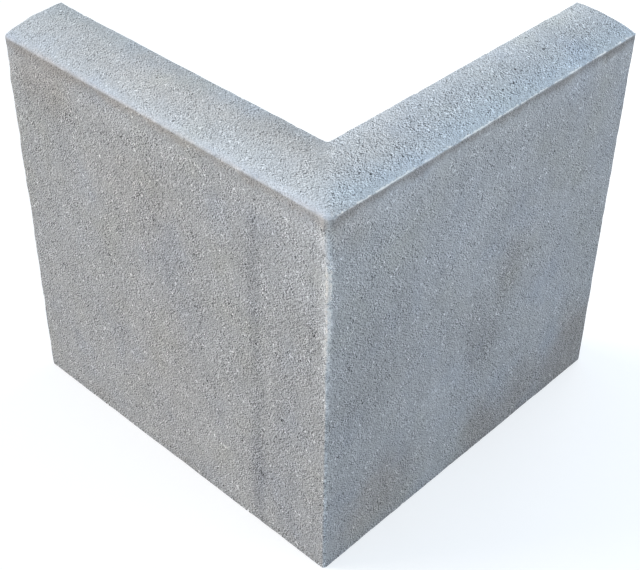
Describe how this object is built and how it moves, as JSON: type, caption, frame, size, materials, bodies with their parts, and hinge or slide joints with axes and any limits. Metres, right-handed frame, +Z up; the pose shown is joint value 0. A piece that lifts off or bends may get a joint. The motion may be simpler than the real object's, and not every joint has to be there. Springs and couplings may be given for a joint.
{
  "type": "corner kerb stone",
  "caption": "Right-angled corner kerb of pressed grey concrete: two equal upright legs with a crowned top, used to turn an edging run round an outside corner.",
  "frame": {"origin": "on the bed plane, where the centre lines of the two legs cross", "axes": "+Z up from the bed; one leg runs along +X and the other along +Y; the show faces look towards -Y and -X"},
  "size_m": [0.3, 0.3, 0.3],
  "materials": {
    "concrete": "fine-grained pressed concrete, dry and matt, with sandy speckle and open pores"
  },
  "bodies": {
    "root": {"kerb_stone": "concrete"}
  },
  "joints": []
}
